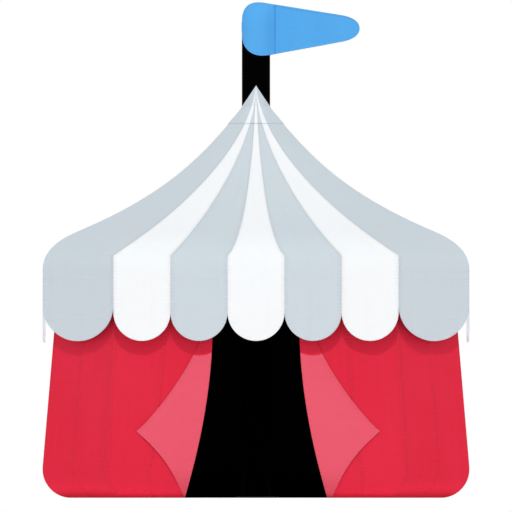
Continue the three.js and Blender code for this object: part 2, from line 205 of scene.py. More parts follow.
class Kit:  # one node tree, and the single way of adding a node to it
    def __init__(self, tree):
        self.tree = tree

    def make(self, kind, settings=None, inputs=None, output=0):
        node = self.tree.nodes.new(kind)
        for name, value in (settings or {}).items():
            setattr(node, name, value)
        for name, value in (inputs or {}).items():
            if isinstance(value, Wire):
                self.tree.links.new(value.socket, node.inputs[name])
            else:
                node.inputs[name].default_value = value
        return Wire(self, node.outputs[output]) if len(node.outputs) else None

    def blend(self, factor, first, second):
        return self.make("ShaderNodeMix", {"data_type": "RGBA"}, {0: factor, 6: first, 7: second}, 2)

    def noise(self, vector, scale, detail=2.0, roughness=0.5):
        return self.make("ShaderNodeTexNoise", None,
                         {"Vector": vector, "Scale": scale, "Detail": detail, "Roughness": roughness})

    def bump(self, height, distance, strength=1.0, normal=None):
        inputs = {"Height": height, "Distance": distance, "Strength": strength}
        if normal is not None:
            inputs["Normal"] = normal
        return self.make("ShaderNodeBump", None, inputs)

    def attribute(self, name):
        return self.make("ShaderNodeAttribute", {"attribute_name": name}, None, "Fac")

    def point(self):
        return self.make("ShaderNodeTexCoord", None, None, "Object")

    def split(self, vector):
        outputs = self.make("ShaderNodeSeparateXYZ", None, {0: vector}).socket.node.outputs
        return [Wire(self, outputs[axis]) for axis in range(3)]


def startMaterial(name, fixed):  # a Principled material with its constants
    material = bpy.data.materials.new(name)
    material.use_nodes = True
    shader = material.node_tree.nodes["Principled BSDF"]
    for socket, value in fixed.items():
        shader.inputs[socket].default_value = value
    return material, Kit(material.node_tree), shader


def plug(kit, shader, wires):
    for name, wire in wires.items():
        kit.tree.links.new(wire.socket, shader.inputs[name])


def shade(red, green, blue):
    return (red, green, blue, 1.0)


def neutral(value):
    return shade(value, value, value)


canvasLooks = {
    "white_canvas": {
        "color": shade(0.900, 0.925, 0.945), "faded": shade(0.885, 0.905, 0.915),
        "seam": shade(0.74, 0.77, 0.80), "thread": shade(0.80, 0.82, 0.84), "dirtAndPaintedLight": shade(0.72, 0.70, 0.66)},
    "grey_canvas": {
        "color": shade(0.590, 0.660, 0.715), "faded": shade(0.610, 0.675, 0.720),
        "seam": shade(0.47, 0.53, 0.58), "thread": shade(0.74, 0.78, 0.82), "dirtAndPaintedLight": shade(0.50, 0.50, 0.48)},
    "red_canvas": {
        "color": shade(0.715, 0.0205, 0.050), "faded": shade(0.730, 0.027, 0.060),
        "seam": shade(0.56, 0.015, 0.035), "thread": shade(0.80, 0.10, 0.13),
        # a paler red near the ground: painted light against the shade of the walls' rolled-in foot, with a
        # little dust
        "dirtAndPaintedLight": shade(0.97, 0.040, 0.105),
        "gloss": 0.06, "dustAndPaintedLight": 0.62, "dustAndPaintedLightHeight": 0.75},
    "pink_lining": {
        "color": shade(0.785, 0.090, 0.143), "faded": shade(0.800, 0.104, 0.158),
        "seam": shade(0.68, 0.07, 0.12), "thread": shade(0.88, 0.25, 0.30), "dirtAndPaintedLight": shade(0.60, 0.12, 0.14)},
    "blue_flag": {
        "color": shade(0.088, 0.405, 0.850), "faded": shade(0.105, 0.425, 0.860),
        "seam": shade(0.06, 0.32, 0.72), "thread": shade(0.35, 0.60, 0.90), "dirtAndPaintedLight": shade(0.08, 0.30, 0.60)},
}
canvasShared = {
    "gloss": 0.12,
    "roughness": 0.72,
    "threadPitch": 0.004,  # metres between two threads of the weave
    "threadShade": 0.06,
    "stitchPitch": 0.014,
    "stitchWidth": 0.0015,
    "stitchInset": 0.015,  # middle of the two lines of stitches, from the edge
    "stitchApart": 0.007,  # each line from that middle
    "stitchDepth": 0.0012,
    "creaseScale": 1.3,  # noises, in waves a metre
    "grainScale": 9.0,
    "fadingScale": 0.45,
    "creaseDepth": 0.02,
    "grainDepth": 0.004,
    "puckerPitch": 0.085,  # gathers beside the sewing
    "puckerDepth": 0.005,
    "puckerReach": (0.03, 0.17),  # deepest and gone this far from the edge
    "foldPitch": 0.94,  # flattened folds from being packed away
    "foldDepth": 0.004,
    "foldWidth": 0.03,
    "dustAndPaintedLight": 0.05,
    "dustAndPaintedLightHeight": 1.4,  # dust, and on the red canvas painted light against the shade of the rolled-in foot, thins out from the ground to this height
    "streaks": 0.07,
    "streakStretch": (6.0, 0.4, 1.0),
    "seamShade": 0.17,
    "seamShadeReach": 0.05,  # the cloth is darker this near to its sewing
    "paintedGlow": 0.85,  # painted glow on the backs of the right and the left side's drops, standing in for daylight through the cloth
    "paintedGlowColor": shade(0.44, 0.88, 0.92),
}


def canvasMaterial(slot, ending="", paintedGlow=0.0):
    look = {**canvasShared, **canvasLooks[slot]}
    material, kit, shader = startMaterial(slot + ending, {
        "Specular IOR Level": look["gloss"], "Emission Color": look["paintedGlowColor"], "Emission Strength": paintedGlow})
    point = kit.point()
    pattern = kit.make("ShaderNodeUVMap", {"uv_map": "cloth"})
    acrossCloth, alongCloth, _ = kit.split(pattern)
    _, _, height = kit.split(point)
    edge = kit.attribute("edge")
    along = kit.attribute("along")
    creases = kit.noise(point, look["creaseScale"], 3.0, 0.55)
    fine = kit.noise(point, look["grainScale"], 4.0, 0.6)
    fading = kit.noise(point, look["fadingScale"], 2.0, 0.5)
    # two sets of threads, each passing over the other
    turn = math.tau / look["threadPitch"]
    weave = (acrossCloth * turn).sine() * (alongCloth * turn).sine()
    # two lines of stitches along hems and seams, and the gathers beside them
    dashes = (along * (math.tau / look["stitchPitch"])).sine() > -0.3  # longer than the gaps
    stitches = (abs(abs(edge - look["stitchInset"]) - look["stitchApart"]) < look["stitchWidth"]) * dashes
    gathers = (along * (math.tau / look["puckerPitch"]) + creases * 9.0).sine()
    deepest, gone = look["puckerReach"]
    pucker = gathers * edge.remap(0.0, deepest) * (1 - edge.remap(deepest, gone))
    # lines across the cloth where it was folded, wavering a little
    across = (alongCloth / look["foldPitch"] + creases * 0.04).fraction()
    fold = 1 - (abs(across - 0.5) * look["foldPitch"]).remap(0.0, look["foldWidth"])
    # streaks left by rain, dust near the ground, and darker cloth beside the sewing; on the red canvas the
    # dust is a paler red, painted light against the shade of the walls' rolled-in foot, and the streaks take
    # that paler red too
    rain = kit.make("ShaderNodeMapping", None, {"Vector": pattern, "Scale": look["streakStretch"]})
    streaks = kit.noise(rain, 1.0, 3.0, 0.6).remap(0.45, 0.75) * look["streaks"]
    dustAndPaintedLight = (1 - height.remap(0.0, look["dustAndPaintedLightHeight"])) * (0.35 + 0.65 * fine) * look["dustAndPaintedLight"]
    seamShade = (1 - edge.remap(0.0, look["seamShadeReach"])) * look["seamShade"]
    tone = kit.blend(fading.remap(0.3, 0.7) * 0.6 + fine * 0.2, look["color"], look["faded"])
    tone = kit.blend((1 + weave) * look["threadShade"], tone, look["seam"])
    tone = kit.blend(seamShade, tone, look["seam"])
    tone = kit.blend(stitches * 0.75, tone, look["thread"])
    tone = kit.blend(dustAndPaintedLight + streaks, tone, look["dirtAndPaintedLight"])
    relief = kit.bump(creases, look["creaseDepth"], 0.6)
    relief = kit.bump(pucker, look["puckerDepth"], 0.6, relief)
    relief = kit.bump(fold, look["foldDepth"], 0.5, relief)
    relief = kit.bump(fine, look["grainDepth"], 0.5, relief)
    relief = kit.bump(weave, look["threadPitch"] * 0.16, 0.5, relief)
    relief = kit.bump(stitches, look["stitchDepth"], 1.0, relief)
    plug(kit, shader, {"Base Color": tone, "Roughness": look["roughness"] + fine * 0.1, "Normal": relief})
    return material


def liningMaterial(name, color):  # blackout coating on the inside of the canvas
    material, kit, shader = startMaterial(name, {"Specular IOR Level": 0.05, "Roughness": 0.95})
    fine = kit.noise(kit.point(), 14.0, 3.0, 0.6)
    tone = kit.blend(fine, color, shade(*(part * 1.6 for part in color[:3])))
    plug(kit, shader, {"Base Color": tone, "Normal": kit.bump(fine, 0.003, 0.4)})
    return material


def paintMaterial(name, look):  # brushed paint on metal
    material, kit, shader = startMaterial(name, {
        "Specular IOR Level": look["gloss"], "Metallic": look["metallic"]})
    point = kit.point()
    stretched = kit.make("ShaderNodeMapping", None, {"Vector": point, "Scale": (14.0, 14.0, 1.2)})
    brush = kit.noise(stretched, 3.0, 4.0, 0.6)
    specks = kit.noise(point, 60.0, 2.0, 0.5)
    tone = kit.blend(brush, look["color"], look["second"])
    tone = kit.blend(specks.remap(0.66, 0.74) * 0.35, tone, look["worn"])
    plug(kit, shader, {"Base Color": tone, "Roughness": look["roughness"] + brush * 0.12,
                       "Normal": kit.bump(brush, 0.002, 0.35)})
    return material


finishes = {slot: canvasMaterial(slot) for slot in canvasLooks}
# the backs of the side drops glow: painted light standing in for daylight through the canvas
paintedGlowBacks = {slot: canvasMaterial(slot, "_back", canvasShared["paintedGlow"])
             for slot in ("white_canvas", "grey_canvas")}
blackLining = liningMaterial("black_lining", shade(0.0012, 0.0012, 0.0014))
mastPaint = paintMaterial("mast_paint", {
    "color": neutral(0.0004), "second": neutral(0.0010), "worn": neutral(0.010),
    "gloss": 0.002, "metallic": 0.0, "roughness": 0.45})
framePaint = paintMaterial("frame_paint", {
    "color": shade(0.008, 0.009, 0.010), "second": shade(0.016, 0.017, 0.019),
    "worn": neutral(0.12), "gloss": 0.3, "metallic": 0.3, "roughness": 0.5})
print("materials made:", len(bpy.data.materials))


# Making pieces
cloth = {
    "hem": 0.03,
    "ramp": 0.004,  # from flat cloth up to the hem's full rise
    "rise": 0.003,
    "thickness": 0.005,
}


def addObject(name, data):
    made = bpy.data.objects.new(name, data)
    bpy.context.scene.collection.objects.link(made)
    return made


def addMesh(name, bm, materials):
    mesh = bpy.data.meshes.new(name)
    bm.to_mesh(mesh)
    bm.free()
    for material in materials:
        mesh.materials.append(material)
    return addObject(name, mesh)


def newPiece(name, bm, materials, node):
    piece = addMesh(name, bm, materials)
    for polygon in piece.data.polygons:
        polygon.use_smooth = True
    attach(piece, "root")
    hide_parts(node)
    return piece


def finishCloth(piece, flat, thickness=cloth["thickness"], inside=1, offset=-1):
    area = sum(polygon.area for polygon in piece.data.polygons)
    solid = piece.modifiers.new("cloth_thickness", "SOLIDIFY")
    solid.thickness = thickness
    solid.offset = offset
    solid.material_offset = inside
    width, length = flat
    round(min(area, width * length), 2)
    return piece


def weld(bm, reach=1e-5):  # merges vertices nearer than this
    bmesh.ops.remove_doubles(bm, verts=bm.verts, dist=reach)


def hemSteps(hem=cloth["hem"], ramp=cloth["ramp"], rise=cloth["rise"]):
    # places from the edge inwards and how proud each stands
    return [(0, 0), (ramp, rise), (hem - ramp, rise), (hem, 0)]


def seamStops(seams, step):
    # places across the cloth and how proud each stands: a hem at both ends, a welt over each seam
    hem = cloth["hem"]
    stops = []
    for number, seam in enumerate(seams):
        first, last = number == 0, number == len(seams) - 1
        low = 0 if first else -hem if last else -hem / 2
        welt = [(seam + (low + place), proud) for place, proud in hemSteps()]
        if not first and not last:
            welt.insert(2, (seam, cloth["rise"]))
        if stops:
            previous, start = stops[-1][0], welt[0][0]
            count = max(2, round((start - previous) / step))
            stops += [(mix(previous, start, part / count), 0) for part in range(1, count)]
        stops += welt
    return stops


def seamGap(place, seams):  # from the end of a hem, or past the middle of a welt
    ends = min(place - seams[0], seams[-1] - place)
    return min([ends] + [abs(place - seam) + cloth["hem"] / 2 for seam in seams[1:-1]])


def startGrid(bm, columns, rows, part=0):  # a grid whose vertices hold their column, row and part
    made = bmesh.ops.create_grid(bm, x_segments=columns, y_segments=rows, size=0.5)
    for vert in made["verts"]:
        vert.co = (round((vert.co.x + 0.5) * columns), round((0.5 - vert.co.y) * rows), part)
    return made["verts"]


def cellOf(vert):
    return round(vert.co.x), round(vert.co.y)


def layCloth(bm, place):
    # 'place' gives a vertex's spot, its metres on the cloth, and its gap to and way along the sewing
    uvLayer = bm.loops.layers.uv.new("cloth")
    edgeLayer = bm.verts.layers.float.new("edge")
    alongLayer = bm.verts.layers.float.new("along")
    bm.verts.index_update()
    pattern = []
    for vert in bm.verts:
        vert.co, flat, vert[edgeLayer], vert[alongLayer] = place(vert)
        pattern.append(flat)
    for face in bm.faces:
        for loop in face.loops:
            loop[uvLayer].uv = pattern[loop.vert.index]


# Canopy strips
strip = {
    "gridStep": 0.1,
    "rowStep": 0.055,
    "narrow": 0.5,  # hems shrink where the strip is narrower than this
    "billow": 0.016,  # how proud the cloth stands between its seams
    "billowFade": (0.6, 0.8),  # it fades within these heights of the crown and the shoulder
    "sway": 0.014,  # soft waves of the hanging valance
    "waves": [(1.1, 0.37, 0.6), (2.3, 0.71, 0.4)],  # waves a strip, shift from strip to strip, share
    "arcSteps": 96,
    "spare": 0.3,  # cut off again above the drop
}


def addScallop(bm, width, cusp, stops):  # the drop: a half disc with its sides carried up, and hemmed
    bottom, top, step = plan["drop"], plan["drop"] + strip["spare"], strip["gridStep"]
    # the lower half of a disc
    disc = bmesh.ops.create_circle(bm, cap_ends=True, segments=strip["arcSteps"], radius=1.0)["verts"]
    bmesh.ops.scale(bm, vec=(width / 2, cusp - plan["lowest"], 1), verts=disc)
    bmesh.ops.rotate(bm, cent=(0, 0, 0), matrix=Matrix.Rotation(math.pi / 2, 3, "X"), verts=disc)
    bmesh.ops.translate(bm, vec=(0, 0, cusp), verts=disc)
    cut = cutAll(bm, (0, 0, cusp), (0, 0, 1), True)["geom_cut"]
    # its straight edge carried up
    straight = [item for item in cut if isinstance(item, bmesh.types.BMEdge)]
    raised = bmesh.ops.extrude_edge_only(bm, edges=straight)["geom"]
    bmesh.ops.translate(bm, vec=(0, 0, top - cusp),
                        verts=[item for item in raised if isinstance(item, bmesh.types.BMVert)])
    weld(bm)
    bmesh.ops.recalc_face_normals(bm, faces=bm.faces)
    if bm.faces[:][0].normal.y > 0:
        bmesh.ops.reverse_faces(bm, faces=bm.faces)
    # the hem all round, then the columns and rows
    region = list(bm.faces)
    hem, ramp, rise = cloth["hem"], cloth["ramp"], cloth["rise"]
    for inset, depth in ((ramp, rise), (hem - 2 * ramp, 0), (ramp, -rise)):
        bmesh.ops.inset_region(bm, faces=region, thickness=inset, depth=depth,
                               use_even_offset=True, use_boundary=True)
    cutAll(bm, (0, 0, bottom), (0, 0, 1), True)
    for x in stops[4:-4]:  # the insets have made the four columns of each hem
        cutAll(bm, (x, 0, 0), (1, 0, 0))
    height = bottom - step
    while height > plan["lowest"]:
        cutAll(bm, (0, 0, height), (0, 0, 1))
        height -= step


def cutAll(bm, place, direction, clear=False):
    return bmesh.ops.bisect_plane(bm, geom=bm.verts[:] + bm.edges[:] + bm.faces[:], plane_co=place,
                                  plane_no=direction, clear_outer=clear)


def addGore(bm, stops):  # the strip above the drop, still flat
    top, bottom = plan["crown"], plan["drop"]
    rows = math.ceil((top - bottom) / strip["rowStep"])
    for vert in startGrid(bm, len(stops) - 1, rows):
        column, row = cellOf(vert)
        place, proud = stops[column]
        vert.co = Vector((place, -proud, mix(top, bottom, row / rows)))


def billowAt(share, height, seed):  # how far a strip bows out at a share of its width
    arch = clamp(4 * share * (1 - share))
    crown, shoulder = plan["crown"], plan["shoulder"]
    belowCrown, aboveShoulder = strip["billowFade"]
    out = strip["billow"] * arch * (1 - smooth(crown - belowCrown, crown, height))
    out *= smooth(shoulder, shoulder + aboveShoulder, height)
    hang = clamp((plan["eave"] - height) / (plan["eave"] - plan["lowest"]))
    wave = sum(math.sin(math.tau * (share * count + seed * shift)) * part
               for count, shift, part in strip["waves"])
    return out + strip["sway"] * hang * hang * wave * math.sqrt(arch)


def roofSeams(height):
    outer, middle, inner = outerSeam(height), middleSeam(height), innerSeam(height)
    return [-outer, -middle, -inner, inner, middle, outer]


def onCorner(distance, across, height):  # a spot on the front right cut corner
    return Vector(((distance + across) / math.sqrt(2), (across - distance) / math.sqrt(2), height))


def turned(spot, quarters):
    spot.rotate(Matrix.Rotation(quarters * math.pi / 2, 3, "Z"))
    return spot


def canopyStrip(where, slot, number, turns):
    # numbers 0 to 4 are the strips of a long side from its left, 5 is the corner to their right
    corner = number == plan["strips"]
    width = math.sqrt(2) * (plan["halfSide"] - 2.5 * plan["stripWidth"]) if corner else plan["stripWidth"]
    cusp = plan["cornerCusp"] if corner else plan["cusp"]
    seed = turns * (plan["strips"] + 1) + number
    hem = cloth["hem"]
    stops = [(place - width / 2, proud) for place, proud in seamStops([0, width], strip["gridStep"])]
    bm = bmesh.new()
    addScallop(bm, width, cusp, [place for place, proud in stops])
    addGore(bm, stops)
    weld(bm, 2e-4)

    def realWidth(height):
        if corner:
            return math.sqrt(2) * (roofHalf(height) - outerSeam(height))
        seams = roofSeams(height)
        return seams[number + 1] - seams[number]

    def kept(height):
        return min(1.0, realWidth(height) / strip["narrow"])

    def shareOf(x, height):  # a hem keeps its width, the rest is drawn in
        narrow = realWidth(height)
        gap = width / 2 - abs(x)
        if gap < hem:
            real = gap * kept(height)
        else:
            real = mix(hem * kept(height), narrow / 2, (gap - hem) / (width / 2 - hem))
        return real / narrow if x < 0 else 1 - real / narrow

    def place(vert):
        x, out, height = vert.co.x, -vert.co.y, vert.co.z
        share = shareOf(x, height)
        out = out * kept(height) + billowAt(share, height, seed)
        distanceAt = cornerDistance if corner else roofHalf
        slope = slopeOf(distanceAt, height)
        length = math.hypot(1, slope)
        distance = distanceAt(height) + out / length
        z = height - out * slope / length
        if corner:
            spot = onCorner(distance, (share - 0.5) * realWidth(height), z)
        else:
            seams = roofSeams(height)
            spot = Vector((mix(seams[number], seams[number + 1], share), -distance, z))
        turned(spot, turns)
        down = roofLength(height)
        flat = ((share - 0.5) * realWidth(height) + 2 * seed, down)
        if height >= cusp:
            return spot, flat, (width / 2 - abs(x)) * kept(height), down
        depth = cusp - plan["lowest"]
        ring = math.hypot(x / (width / 2), (height - cusp) / depth)
        angle = math.atan2(cusp - height, abs(x) + 1e-6)
        return spot, flat, (1 - ring) * depth, roofLength(cusp) + angle * depth

    for face in bm.faces:  # the drop has no lining
        face.material_index = 2 if face.calc_center_median().z < plan["drop"] else 0
    layCloth(bm, place)
    canvas = finishes[slot]
    # on the right and left sides the drop's inner face glows: painted light
    back = paintedGlowBacks[slot] if turns % 2 and not corner else canvas
    piece = newPiece(f"strip_{where}", bm, [canvas, blackLining, canvas, back], f"roof_{where}")
    length = roofLength(plan["lowest"]) - roofLength(plan["crown"])
    return finishCloth(piece, (width, length))


for turns, side in enumerate(sideNames):
    for number in range(plan["strips"]):
        canopyStrip(f"{side}_{number + 1}", "grey_canvas" if number % 2 else "white_canvas", number, turns)
for turns, corner in enumerate(cornerNames):
    canopyStrip(f"corner_{corner}", "grey_canvas", plan["strips"], turns)
print("canopy strips made")


# Collar: closes the canopy round the mast and ends in a point in front and behind
collar = {
    "lap": 0.06,  # how far it reaches down over the strips
    "proud": 0.011,
    "slope": 0.2,  # its way up is this much longer than its height
    "meet": 9.206,  # its sides reach the mast here
    "mastGap": 0.014,
    "ringRows": 12,
    "tongueRows": 18,
    "cornerSteps": 8,
}


def collarStations():  # one quarter of the ring: strip number and share of the way across it
    stations = [(number, share) for number in range(plan["strips"]) for share in (0.0, 0.5)]
    count = collar["cornerSteps"]
    return stations + [(plan["strips"], step / count) for step in range(count)]


def makeCollar():
    stations = collarStations()
    quarter = len(stations)
    meet, apex, lap = collar["meet"], plan["apex"], plan["crown"] - collar["lap"]
    radius = roofHalf(meet)
    hugging = plan["mastRadius"] + collar["mastGap"]

    def ringSpot(column, height, out=0.0):
        side, index = divmod(column, quarter)
        number, share = stations[index]
        half, outer = roofHalf(height) + collar["proud"] + out, outerSeam(height)
        level = max(roofHalf(height), radius) + out
        if number < plan["strips"]:
            seams = roofSeams(height)
            x = mix(seams[number], seams[number + 1], share)
            flat = Vector((x, -half, height))
            ring = Vector((x, -math.sqrt(level ** 2 - x ** 2), height))
        else:
            flat = Vector((mix(outer, half, share), -mix(half, outer, share), height))
            widest = math.asin(outer / level)
            angle = mix(widest, math.pi / 2 - widest, share)
            ring = Vector((level * math.sin(angle), -level * math.cos(angle), height))
        return turned(flat.lerp(ring, smooth(plan["crown"], meet, height)), side)

    def tongueSpot(column, height, way):  # drawn in towards the tip, close round the mast
        start = ringSpot(column % (4 * quarter), meet)
        before = [0, *roofSeams(meet)[3:], radius]
        after = [0, *roofSeams(height)[3:], roofHalf(height)]
        x, step = abs(start.x), 0
        while step < 3 and x > before[step + 1] + 1e-6:
            step += 1
        x = mix(after[step], after[step + 1], clamp((x - before[step]) / (before[step + 1] - before[step])))
        depth = math.sqrt(max(hugging ** 2 - x * x, 0)) if height > meet else abs(start.y)
        return Vector((math.copysign(x, start.x), way * depth, height))

    bm = bmesh.new()
    ringRows, rows = collar["ringRows"], collar["tongueRows"]
    levels = [(lap + up, proud) for up, proud in hemSteps()]
    start = levels[-1][0]
    levels += [(mix(start, meet, step / ringRows), 0) for step in range(1, ringRows + 1)]
    levels.reverse()
    startGrid(bm, 4 * quarter, len(levels) - 1)
    middle = 2 * (plan["strips"] // 2) + 1  # column at the middle of a side
    firsts = {1: middle - quarter, 2: middle + quarter}  # first columns of the two tongues
    for part in firsts:
        startGrid(bm, 2 * quarter, rows, part)

    def stripColor(column, onTongue):
        side, index = divmod(column % (4 * quarter), quarter)
        number = stations[index][0]
        beyond = onTongue and side % 2 == 1
        return 0 if number % 2 == 0 and number < plan["strips"] and not beyond else 1

    for face in bm.faces:
        part = round(face.verts[0].co.z)
        column = min(cellOf(vert)[0] for vert in face.verts)
        face.material_index = stripColor(firsts.get(part, 0) + column, part > 0)

    def place(vert):
        column, row = cellOf(vert)
        part = round(vert.co.z)
        if part == 0:
            height, out = levels[row]
            spot = ringSpot(column % (4 * quarter), height, out)
        else:
            height = mix(apex, meet, row / rows)
            column += firsts[part]
            spot = tongueSpot(column, height, 2 * part - 3)  # -1 in front, 1 behind
        run = column / quarter * math.pi / 2 * radius
        return spot, (run, apex - height), height - lap, min(run, math.tau * radius - run)

    layCloth(bm, place)
    weld(bm)
    white, grey = finishes["white_canvas"], finishes["grey_canvas"]
    piece = newPiece("collar", bm, [white, grey, blackLining, blackLining], "roof_crown")
    around = 8 * roofHalf(lap)  # all four sides
    length = apex - lap + collar["slope"]
    return finishCloth(piece, (around, length), inside=2)


makeCollar()
print("collar made")


# Walls
wall = {
    "top": 5.083,
    "topHalf": 4.63,
    "bulge": 0.7,  # widest line
    "footRadius": 0.667,  # the foot rolls inwards
    "footTuck": 0.133,  # flat hem on the ground
    "cornerShare": 0.7,  # where the corner is cut, as a share of the half-width
    "gridStep": 0.1,
    "rowStep": 0.09,
    "fold": 0.009,  # soft upright folds
    "foldPitches": (1.13, 0.47),  # of the broad and the narrow wave
    "foldShares": (0.6, 0.4),
    "foldShifts": (0.31, 1.7),  # from side to side
    "foldWaver": (0.5, 0.8),  # how far the broad wave wavers, and how often down the cloth
    "foldLean": 0.35,  # of the narrow wave, down the cloth
    "foldStart": 0.9,  # full depth this far down the cloth
    "foldFade": (4.0, 5.0),  # gone between these
    "taut": 0.3,  # held flat towards an edge within this
    "doorBottomHalf": 1.667,
    "doorTopHalf": 1.013,
    "doorStraightAbove": 4.0,
    "doorSweep": 1.85,  # how late its sides curve out to the ground
    "doorHeight": 4.6,
}
wallSlant = math.hypot(wall["top"] - wall["bulge"], plan["halfSide"] - wall["topHalf"])
wallUpright = wall["bulge"] - wall["footRadius"]
wallArc = math.pi / 2 * wall["footRadius"]
wallLength = wallSlant + wallUpright + wallArc + wall["footTuck"]


def wallAt(down):  # half-width, height and outward direction at a length down the cloth
    centre = plan["halfSide"] - wall["footRadius"]
    if down <= wallSlant:
        share = down / wallSlant
        out = Vector((wall["top"] - wall["bulge"], plan["halfSide"] - wall["topHalf"])).normalized()
        return mix(wall["topHalf"], plan["halfSide"], share), mix(wall["top"], wall["bulge"], share), out
    down -= wallSlant
    if down <= wallUpright:
        return plan["halfSide"], wall["bulge"] - down, Vector((1, 0))
    down -= wallUpright
    if down <= wallArc:
        angle = down / wall["footRadius"]
        out = Vector((math.cos(angle), -math.sin(angle)))
        return centre + wall["footRadius"] * out.x, wall["footRadius"] * (1 + out.y), out
    return centre - (down - wallArc), 0.0, Vector((0, -1))


def doorEdge(height):
    share = max(0.0, 1 - height / wall["doorStraightAbove"])
    return mix(wall["doorTopHalf"], wall["doorBottomHalf"], share ** wall["doorSweep"])


def wallFold(side, x, down, fromEdge):
    # two waves that differ from side to side, none at the edges that are held
    (broad, narrow), (broadShare, narrowShare) = wall["foldPitches"], wall["foldShares"]
    broadShift, narrowShift = wall["foldShifts"]
    waver, often = wall["foldWaver"]
    depth = wall["fold"] * smooth(0, wall["foldStart"], down) * (1 - smooth(*wall["foldFade"], down))
    wavering = waver * math.sin(often * down + side)
    wave = broadShare * math.sin(math.tau * (x / broad + broadShift * side) + wavering)
    wave += narrowShare * math.sin(math.tau * x / narrow + narrowShift * side + wall["foldLean"] * down)
    return depth * smooth(0, wall["taut"], fromEdge) * wave


def wallPanel(where, turns, seams, leftEdge, rightEdge, bottom=wallLength, corner=False):
    # 'seams' are nominal metres across, 'leftEdge' and 'rightEdge' give the sides at a row
    columns = seamStops(seams, wall["gridStep"])
    rows = seamStops([0, bottom], wall["rowStep"])
    wide = seams[-1] - seams[0]
    bm = bmesh.new()
    startGrid(bm, len(columns) - 1, len(rows) - 1)

    def place(vert):
        column, row = cellOf(vert)
        (across, proudAcross), (down, proudDown) = columns[column], rows[row]
        half, height, direction = wallAt(down)
        share = (across - seams[0]) / wide
        left, right = leftEdge(half, height), rightEdge(half, height)
        x = mix(left, right, share)
        fromEdge = min(share, 1 - share) * (right - left)
        out = max(proudAcross, proudDown) + wallFold(turns + 0.5 * corner, x, down, fromEdge)
        z = max(height + out * direction.y, 0.0)
        if corner:
            distance = (half * (1 + wall["cornerShare"])) / math.sqrt(2) + out * direction.x
            spot = onCorner(distance, x, z)
        else:
            spot = Vector((x, -(half + out * direction.x), z))
        beside = seamGap(across, seams)
        gap = min(beside, down, bottom - down)
        sewn = down if gap == beside else across
        return turned(spot, turns), (across, down), gap, sewn

    layCloth(bm, place)
    materials = [finishes["red_canvas"], blackLining]
    piece = newPiece(f"wall_cloth_{where}", bm, materials, f"wall_{where}")
    return finishCloth(piece, (wide, bottom))


def wallCorner(half, height):  # side edges of the panels, from the middle of their side
    return wall["cornerShare"] * half


def cornerEdge(half, height):
    return half * (1 - wall["cornerShare"]) / math.sqrt(2)


def doorSide(half, height):
    return doorEdge(height)


def mirrored(edge):
    return lambda half, height: -edge(half, height)


def makeWalls():
    reach = wall["cornerShare"] * plan["halfSide"]
    seams = [number * 2 * reach / plan["strips"] for number in range(plan["strips"] + 1)]
    for turns in range(1, 4):
        wallPanel(sideNames[turns], turns, seams, mirrored(wallCorner), wallCorner)
    width = reach - wall["doorTopHalf"]
    seams = [0, width / 2, width]
    wallPanel("front_left", 0, seams, mirrored(wallCorner), mirrored(doorSide))
    wallPanel("front_right", 0, seams, doorSide, wallCorner)
    overDoor = (wall["top"] - wall["doorHeight"]) / (wall["top"] - wall["bulge"]) * wallSlant
    wallPanel("over_door", 0, [0, 2 * wall["doorTopHalf"]], mirrored(doorSide), doorSide, overDoor)
    width = plan["halfSide"] * (1 - wall["cornerShare"]) * math.sqrt(2)
    seams = [0, width / 2, width]
    for turns, corner in enumerate(cornerNames):
        wallPanel(f"corner_{corner}", turns, seams, mirrored(cornerEdge), cornerEdge, corner=True)


makeWalls()
print("walls made")


# Door flaps, turned back over the walls with their lining outside
flap = {
    "tipHeight": 1.56,
    "tip": 2.8,
    "wider": 0.1,  # the right flap's free edge stands this much further out
    "foot": 0.035,
    "top": 4.6,
    "heading": 3.323,  # faced with the walls' canvas above this, cut to the scallop in front
    "headingReach": 0.4,  # rows bend to that cut within this height
    "gap": 0.008,  # off the wall behind
    "roll": 0.012,  # turned edge beside the doorway
    "rollSection": [(0, 0.0), (0.3, 0.6), (1, 0.9), (2.2, 1.0)],  # rolls from the edge, share of lift
    "narrow": 0.4,  # both edges shrink where the flap is narrower than this
    "fold": 0.0096,  # folds fanning out from the tip: mean lift, and swing about it
    "foldCount": 5.5,
    "foldStart": (0.05, 0.7),  # they grow between these distances from the tip
    "foldFade": (1.6, 3.0),  # and lose this share between these
    "foldLoss": 0.7,
    "foldFlat": 0.25,  # none right beside the doorway
    "foldPhase": 0.8,  # the two flaps differ by it
    "sink": -0.002,  # follows the wall's folds in no further than this
    "clear": 0.001,
    "rowStep": 0.06,
    "columns": 26,
}
flapTip = (flap["tip"], flap["tipHeight"])
flapUpper = falling([(1.1, flap["top"]), (1.1, 3.359), (2.577, 1.682), flapTip])
flapLower = falling([flapTip, (2.689, 1.429), (2.083, 1.034), (wall["doorBottomHalf"], 0)])


def flapFree(height, wider):  # free edge of a flap
    return wider + (flapUpper(height) if height >= flap["tipHeight"] else flapLower(height))


def headingRise(x, height):  # how far the cloth's rows bend up to follow the scallop
    radius = plan["stripWidth"] / 2
    away = clamp(abs(x - plan["stripWidth"]), 0, 0.9 * radius)  # stops short of the notch
    near = clamp(1 - abs(height - flap["heading"]) / flap["headingReach"])
    return near * (radius - math.sqrt(radius ** 2 - away ** 2))


def downAt(height):  # length down the wall's cloth to a height
    if height >= wall["bulge"]:
        return (wall["top"] - height) / (wall["top"] - wall["bulge"]) * wallSlant
    if height >= wall["footRadius"]:
        return wallSlant + wall["bulge"] - height
    return wallSlant + wallUpright + wall["footRadius"] * math.asin(clamp(1 - height / wall["footRadius"]))


